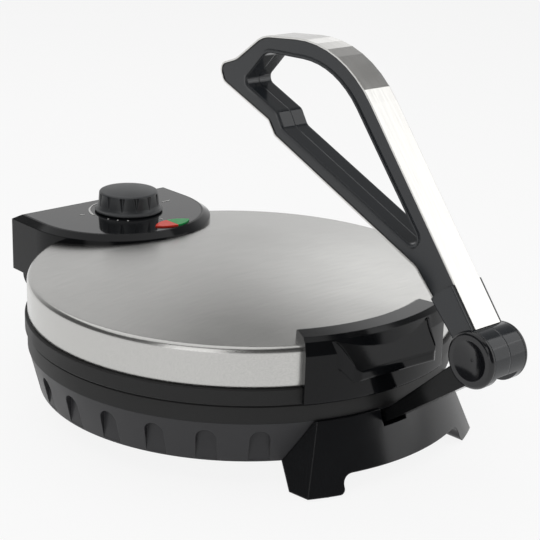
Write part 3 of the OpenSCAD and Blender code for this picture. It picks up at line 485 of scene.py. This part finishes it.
def knob_outline(low, high, flange, grip):
    """Radii and heights of the knob from its bore round the outside to the middle of its crown: a
    lipped flange, a flare on a quadratic curve, a side that leans in, a round edge, and a crown,
    z = top - crown (r / flat r) squared. The height at which the round edge starts comes with it."""
    hole_r, hole_wall = 5.6 * MM, 1.2 * MM
    lip = np.array([[-0.6, 0.0], [-0.1, 0.3], [0.0, 0.8], [0.0, 1.4]]) * MM + [flange, low]
    foot = np.concatenate([[[hole_r, low + hole_wall], [hole_r, low]], lip])
    t = np.linspace(0, 1, 9)[1:, None]
    rim = np.array([flange, 1.4 * MM])
    bend = np.array([grip + 0.4 * MM, 1.9 * MM])
    waist = np.array([grip + 0.1 * MM, 4.4 * MM])
    flare = (1 - t) ** 2 * rim + 2 * t * (1 - t) * bend + t**2 * waist + [0, low]
    crown, edge_r, lean = 1.6 * MM, 1.8 * MM, 0.6 * MM
    # The round edge ends short of level, in degrees, and the crown starts inside it
    edge_end, crown_gap = 84, 0.6 * MM
    flat_r = grip - edge_r - lean
    edge_z = high - crown - edge_r
    side_foot, side_head, side_rows = low + 4.7 * MM, edge_z - 0.2 * MM, 28
    side_r = np.linspace(grip, flat_r + edge_r, side_rows)
    side = np.stack([side_r, np.linspace(side_foot, side_head, side_rows)], 1)
    edge = arc(flat_r, edge_z, edge_r, 0, edge_end, 9)
    crown_r = np.linspace(flat_r - crown_gap, 0.0, 14)
    dome = np.stack([crown_r, high - crown * (crown_r / flat_r) ** 2], 1)
    return np.concatenate([foot, flare, side, edge, dome]), edge_z


def cut_notches(points, count, depth, low, edge_z, grip):
    """Moves the knob's side inwards at each grip notch, by
    depth (1 - (distance from the notch's middle / half width) squared) to the power 0.6. With the height
    above the notch's point, the half width grows by the power 0.8 and the depth by the square root."""
    # A notch is a point at notch_z, widens and deepens up to the edge, and ends just past it
    notch_z, notch_half, past_edge, past_side = 3.6 * MM, 1.9 * MM, 0.4 * MM, 1.4 * MM
    # Keeps the divisions away from zero
    tiny = 1e-6
    dx, dy = points[:, 0] - KNOB_MIDDLE.x, points[:, 1] - KNOB_MIDDLE.y
    r, turn = np.hypot(dx, dy), np.arctan2(dy, dx)
    pitch = 2 * np.pi / count
    off = ((turn + pitch / 2) % pitch - pitch / 2) * r
    rise = np.clip((points[:, 2] - low - notch_z) / (edge_z - low - notch_z), 0, 1)
    half = notch_half * rise**0.8 + tiny
    inside = (points[:, 2] < edge_z + past_edge) & (r > grip - past_side)
    cut = depth * np.clip(1 - (off / half) ** 2, 0, 1) ** 0.6 * rise**0.5 * inside
    factor = 1 - cut / np.maximum(r, tiny)
    return np.stack([KNOB_MIDDLE.x + dx * factor, KNOB_MIDDLE.y + dy * factor, points[:, 2]], 1)


class ROTI_OT_knob(bpy.types.Operator):
    """Adds the thermostat knob, turned about its shaft, with its grip notches"""

    bl_idname = "roti.knob"
    bl_label = "Knob"

    def execute(self, context):
        knob = context.scene.roti_knob
        # ABS from a spark-eroded mould: matt, dark grey, with a fine even tooth 0.4 mm wide
        matt = moulded("matt_abs_knob", "#36383A", "#3C3E40", rough=0.4, size=0.4, depth=0.015, edge=0.0)
        low, flange, grip = KNOB_LOW.z, KNOB_R, KNOB_R - 2.7 * MM
        profile, edge_z = knob_outline(low, KNOB_HIGH.z, flange, grip)
        points, faces = revolved(profile, (KNOB_MIDDLE.x, KNOB_MIDDLE.y), 720)
        points = cut_notches(points, knob.notches, knob.depth, low, edge_z, grip)
        piece = lay_mesh("knob_grip", points, faces, matt, "knob", ["thermostat_knob"])
        # Closes the middle of the crown
        weld = piece.modifiers.new("pole", "WELD")
        weld.merge_threshold = 0.004 * MM
        return {"FINISHED"}


class ROTI_OT_lever(bpy.types.Operator):
    """Finishes the looped lever, its polished strip and its pivot caps"""

    bl_idname = "roti.lever"
    bl_label = "Lever"

    def execute(self, context):
        gloss = gloss_abs("gloss_abs_lever", "#1B1F23", "#21252A", edge=1.0)
        finish_nodes(gloss, "lever_half_left", "lever_half_right")
        cap = gloss_abs("gloss_abs_caps", "#101114", "#141519", rough=0.15, edge=0.5)
        finish_nodes(cap, "pivot_caps")
        strip = polished_steel("polished_stainless_strip", "#DAD9D6", "#CFCECB", rough=0.16)
        finish_nodes(strip, "lever_strip")
        return {"FINISHED"}


# The studio: lengths in metres, powers in watts

FLOOR_HALF = 6.0
FLOOR_DROP = 0.0005
# The share of plain backdrop in what the camera sees of the floor; the matt rest takes the shadow
FLOOR_PLAIN = 0.88

# The way to the middle of the white sweep, and the cosines of the angle from it at which the dark room
# ends and the sweep is at its full
SWEEP_WAY = (0.80, 0.60, 0.0)
ROOM_ENDS, SWEEP_FULL = 0.0, 0.8
ROOM_STRENGTH, SWEEP_STRENGTH = 0.14, 0.98
# The light dims to this share between these two heights, which are sines of the angle above level
DIM_FROM, DIM_TO, DIM_SHARE = 0.38, 0.66, 0.4

# A dark flag and a brighter stretch of the sweep, which the lid mirrors as streaks. Each has the way to
# it, the degrees from there at which it begins and is at its full, and what it multiplies the light by
STREAKS = (
    ((0.581, 0.642, 0.500), 8.0, 1.5, 0.2),
    ((0.714, 0.602, 0.358), 9.0, 3.0, 1.8),
)

# Each lamp's name, place, width, height and power. The small card stands where the lever's strip mirrors it
LAMPS = (
    ("softbox_right", (1.0, -0.93, 0.42), 0.9, 0.7, 2.3),
    ("softbox_top", (-0.2, 0.3, 1.5), 2.2, 2.2, 15.0),
    ("softbox_left", (-1.4, -0.7, 0.6), 0.9, 1.3, 5.0),
    ("card_for_strip", (0.460, -0.382, 0.597), 0.31, 0.43, 0.58),
)
LAMPS_AIM = Vector((0.0, 0.0, 0.10))

# The camera as solved from the ellipses of the lid. In radians, it heads from +Y towards +X, looks down
# by its pitch, and its roll lifts its right side
CAMERA_PLACE = Vector((-0.6214, -0.7266 + LID_Y, 0.4170))
HEADING, PITCH, ROLL = 0.7279, 0.326, 0.0312
SENSOR_MM = 36.0
NEAREST, FARTHEST = 0.01, 50


def white_sweep(backdrop):
    """Material of the floor: matt white, mostly covered by the plain backdrop colour for the camera
    and wholly for metal and gloss that mirror it."""
    m, t = blank("white_sweep")
    matt = add(t, "ShaderNodeBsdfDiffuse", inputs={"Color": linear("#F7F7F7")})
    glow = add(t, "ShaderNodeEmission", inputs={"Color": backdrop, "Strength": 1.0})
    path = add(t, "ShaderNodeLightPath")
    mirrored = add(
        t,
        "ShaderNodeMath",
        links=[(0, path.outputs["Is Glossy Ray"]), (1, path.outputs["Is Transmission Ray"])],
        operation="MAXIMUM",
    )
    direct = add(
        t,
        "ShaderNodeMath",
        links=[(0, path.outputs["Is Camera Ray"])],
        inputs={1: FLOOR_PLAIN},
        operation="MULTIPLY",
    )
    share = add(
        t,
        "ShaderNodeMath",
        links=[(0, direct.outputs[0]), (1, mirrored.outputs[0])],
        operation="MAXIMUM",
    )
    both = add(
        t,
        "ShaderNodeMixShader",
        links=[("Fac", share.outputs[0]), (1, matt.outputs[0]), (2, glow.outputs[0])],
    )
    add(t, "ShaderNodeOutputMaterial", links=[("Surface", both.outputs[0])])
    return m


def studio(backdrop):
    """Light from all round: a white sweep behind the object and on its right, and a dark room before it.
    The camera sees the plain backdrop colour instead."""
    world = bpy.data.worlds.new("studio")
    world.use_nodes = True
    w = world.node_tree
    w.nodes.clear()
    way = add(w, "ShaderNodeTexCoord").outputs["Generated"]
    facing = add(w, "ShaderNodeVectorMath", links=[(0, way)], inputs={1: SWEEP_WAY}, operation="DOT_PRODUCT")
    sweep = add(
        w,
        "ShaderNodeMapRange",
        links=[("Value", facing.outputs["Value"])],
        inputs={
            "From Min": ROOM_ENDS,
            "From Max": SWEEP_FULL,
            "To Min": ROOM_STRENGTH,
            "To Max": SWEEP_STRENGTH,
        },
        interpolation_type="SMOOTHSTEP",
    )
    parts = add(w, "ShaderNodeSeparateXYZ", links=[("Vector", way)])
    dimmed = add(
        w,
        "ShaderNodeMapRange",
        links=[("Value", parts.outputs["Z"])],
        inputs={"From Min": DIM_FROM, "From Max": DIM_TO, "To Min": 1.0, "To Max": DIM_SHARE},
        interpolation_type="SMOOTHSTEP",
    )
    level = add(
        w,
        "ShaderNodeMath",
        links=[(0, sweep.outputs["Result"]), (1, dimmed.outputs["Result"])],
        operation="MULTIPLY",
    )
    for aim, begins, full, gain in STREAKS:
        towards = add(w, "ShaderNodeVectorMath", links=[(0, way)], inputs={1: aim}, operation="DOT_PRODUCT")
        streak = add(
            w,
            "ShaderNodeMapRange",
            links=[("Value", towards.outputs["Value"])],
            inputs={
                "From Min": math.cos(math.radians(begins)),
                "From Max": math.cos(math.radians(full)),
                "To Min": 1.0,
                "To Max": gain,
            },
            interpolation_type="SMOOTHSTEP",
        )
        level = add(
            w,
            "ShaderNodeMath",
            links=[(0, level.outputs[0]), (1, streak.outputs["Result"])],
            operation="MULTIPLY",
        )
    around = add(w, "ShaderNodeBackground", links=[("Strength", level.outputs[0])])
    plain = add(w, "ShaderNodeBackground", inputs={"Color": backdrop, "Strength": 1.0})
    path = add(w, "ShaderNodeLightPath")
    seen = add(
        w,
        "ShaderNodeMixShader",
        links=[("Fac", path.outputs["Is Camera Ray"]), (1, around.outputs[0]), (2, plain.outputs[0])],
    )
    add(w, "ShaderNodeOutputWorld", links=[("Surface", seen.outputs[0])])
    return world


def softbox(name, place, width, height, power):
    """A rectangular lamp that faces the object's middle."""
    light = bpy.data.lights.new(name, "AREA")
    light.shape = "RECTANGLE"
    light.size = width
    light.size_y = height
    light.energy = power
    lamp = bpy.data.objects.new(name, light)
    lamp.location = place
    lamp.rotation_mode = "QUATERNION"
    lamp.rotation_quaternion = (LAMPS_AIM - Vector(place)).to_track_quat("-Z", "Y")
    return lamp


def photo_camera(lens):
    """A camera turned by its heading and pitch, then rolled about the line that it looks along."""
    data = bpy.data.cameras.new("camera")
    data.lens = lens
    data.sensor_width = SENSOR_MM
    data.clip_start = NEAREST
    data.clip_end = FARTHEST
    level = math.cos(PITCH)
    forward = Vector((math.sin(HEADING) * level, math.cos(HEADING) * level, -math.sin(PITCH)))
    right = Vector((math.cos(HEADING), -math.sin(HEADING), 0))
    up = right.cross(forward)
    rolled_right = right * math.cos(ROLL) + up * math.sin(ROLL)
    rolled_up = up * math.cos(ROLL) - right * math.sin(ROLL)
    axes = Matrix((rolled_right, rolled_up, -forward)).transposed()
    camera = bpy.data.objects.new("camera", data)
    camera.matrix_world = Matrix.Translation(CAMERA_PLACE) @ axes.to_4x4()
    return camera


class ROTI_OT_stage(bpy.types.Operator):
    """Adds the pale floor, the studio lights and the camera"""

    bl_idname = "roti.stage"
    bl_label = "Stage"

    def execute(self, context):
        scene = context.scene
        backdrop = [*scene.roti_stage.backdrop, 1.0]
        mesh = bpy.data.meshes.new("floor")
        corners = [(-1, -1), (1, -1), (1, 1), (-1, 1)]
        mesh.from_pydata([(x * FLOOR_HALF, y * FLOOR_HALF, 0) for x, y in corners], [], [(0, 1, 2, 3)])
        mesh.materials.append(white_sweep(backdrop))
        floor = bpy.data.objects.new("floor", mesh)
        scene.collection.objects.link(floor)
        floor.location.z = -FLOOR_DROP
        scene.world = studio(backdrop)
        for lamp in LAMPS:
            scene.collection.objects.link(softbox(*lamp))
        camera = photo_camera(scene.roti_stage.lens)
        scene.collection.objects.link(camera)
        scene.camera = camera
        scene.view_settings.view_transform = "Standard"
        return {"FINISHED"}


class ROTI_PT_panel(bpy.types.Panel):
    """Lists the roti maker's steps"""

    bl_idname = "ROTI_PT_panel"
    bl_label = "Roti Maker"
    bl_space_type = "VIEW_3D"
    bl_region_type = "UI"
    bl_category = "Roti Maker"

    def draw(self, context):
        for step in STEPS:
            self.layout.operator(step.bl_idname)


STEPS = (
    ROTI_OT_stage,
    ROTI_OT_base,
    ROTI_OT_works,
    ROTI_OT_lid,
    ROTI_OT_housing,
    ROTI_OT_lenses,
    ROTI_OT_knob,
    ROTI_OT_lever,
)
GROUPS = {
    "roti_lid": RotiLidSettings,
    "roti_knob": RotiKnobSettings,
    "roti_stage": RotiStageSettings,
}


def register():
    for item in (*GROUPS.values(), *STEPS, ROTI_PT_panel):
        bpy.utils.register_class(item)
    for name, group in GROUPS.items():
        setattr(bpy.types.Scene, name, PointerProperty(type=group))


def unregister():
    for name in GROUPS:
        delattr(bpy.types.Scene, name)
    for item in reversed((*GROUPS.values(), *STEPS, ROTI_PT_panel)):
        bpy.utils.unregister_class(item)


def main():
    register()
    for step in STEPS:
        group, action = step.bl_idname.split(".")
        getattr(getattr(bpy.ops, group), action)()
    bpy.context.view_layer.update()


if __name__ == "__main__":
    main()
